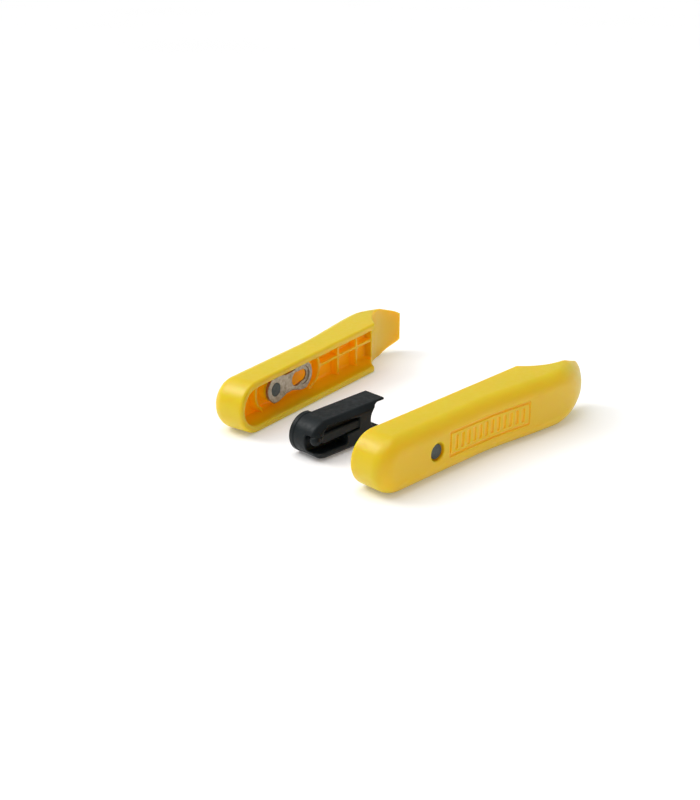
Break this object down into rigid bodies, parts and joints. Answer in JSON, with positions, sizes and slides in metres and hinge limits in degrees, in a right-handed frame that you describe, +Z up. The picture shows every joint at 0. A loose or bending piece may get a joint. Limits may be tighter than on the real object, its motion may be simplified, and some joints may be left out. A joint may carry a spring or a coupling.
{
  "type": "tyre lever set",
  "caption": "Pair of bicycle tyre levers that close face to face over a moulded insert, each storing half of a chain's quick link.",
  "frame": {"origin": "middle of the lower edge that lever_b stands on, on the surface that the whole set stands on", "axes": "+X along lever_b from its round end to its tip, +Y from lever_b to lever_a, +Z up"},
  "size_m": [0.0874, 0.0808, 0.0162],
  "materials": {
    "lever_plastic": "satin, warm yellow",
    "insert_plastic": "fine matte, charcoal",
    "plate_steel": "tumbled, warm grey",
    "pin_steel": "dark, ground flat"
  },
  "bodies": {
    "lever_b": {"lever_b": "lever_plastic"},
    "lever_a": {"lever_a": "lever_plastic"},
    "insert": {"insert": "insert_plastic"},
    "link_half_a": {"link_plate_a": "plate_steel", "link_pin_a": "pin_steel"},
    "link_half_b": {"link_plate_b": "plate_steel", "link_pin_b": "pin_steel"}
  },
  "joints": [
    {"name": "lever_a_close", "type": "hinge", "parent": "lever_b", "child": "lever_a", "pos_m": [-0.2622, 0.0233, 0], "axis": [0, 0, -1], "range_deg": [0, 10.6]},
    {"name": "insert_seat", "type": "slide", "parent": "lever_b", "child": "insert", "axis": [0.8641, -0.4993, 0.0636], "range_m": [0, 0.04166]},
    {"name": "link_a_swivel", "type": "hinge", "parent": "lever_a", "child": "link_half_a", "pos_m": [-0.02465, 0.05214, 0.00748], "axis": [-0.184, 0.9829, 0], "range_deg": [-4, 6]},
    {"name": "link_b_swivel", "type": "hinge", "parent": "lever_b", "child": "link_half_b", "pos_m": [-0.0234, 0.00025, 0.00748], "axis": [0, 1, 0], "range_deg": [-4, 6]}
  ],
  "couplings": [
    {"joint": "insert_seat", "follows": "lever_a_close", "m_per_rad": 0.22519}
  ]
}
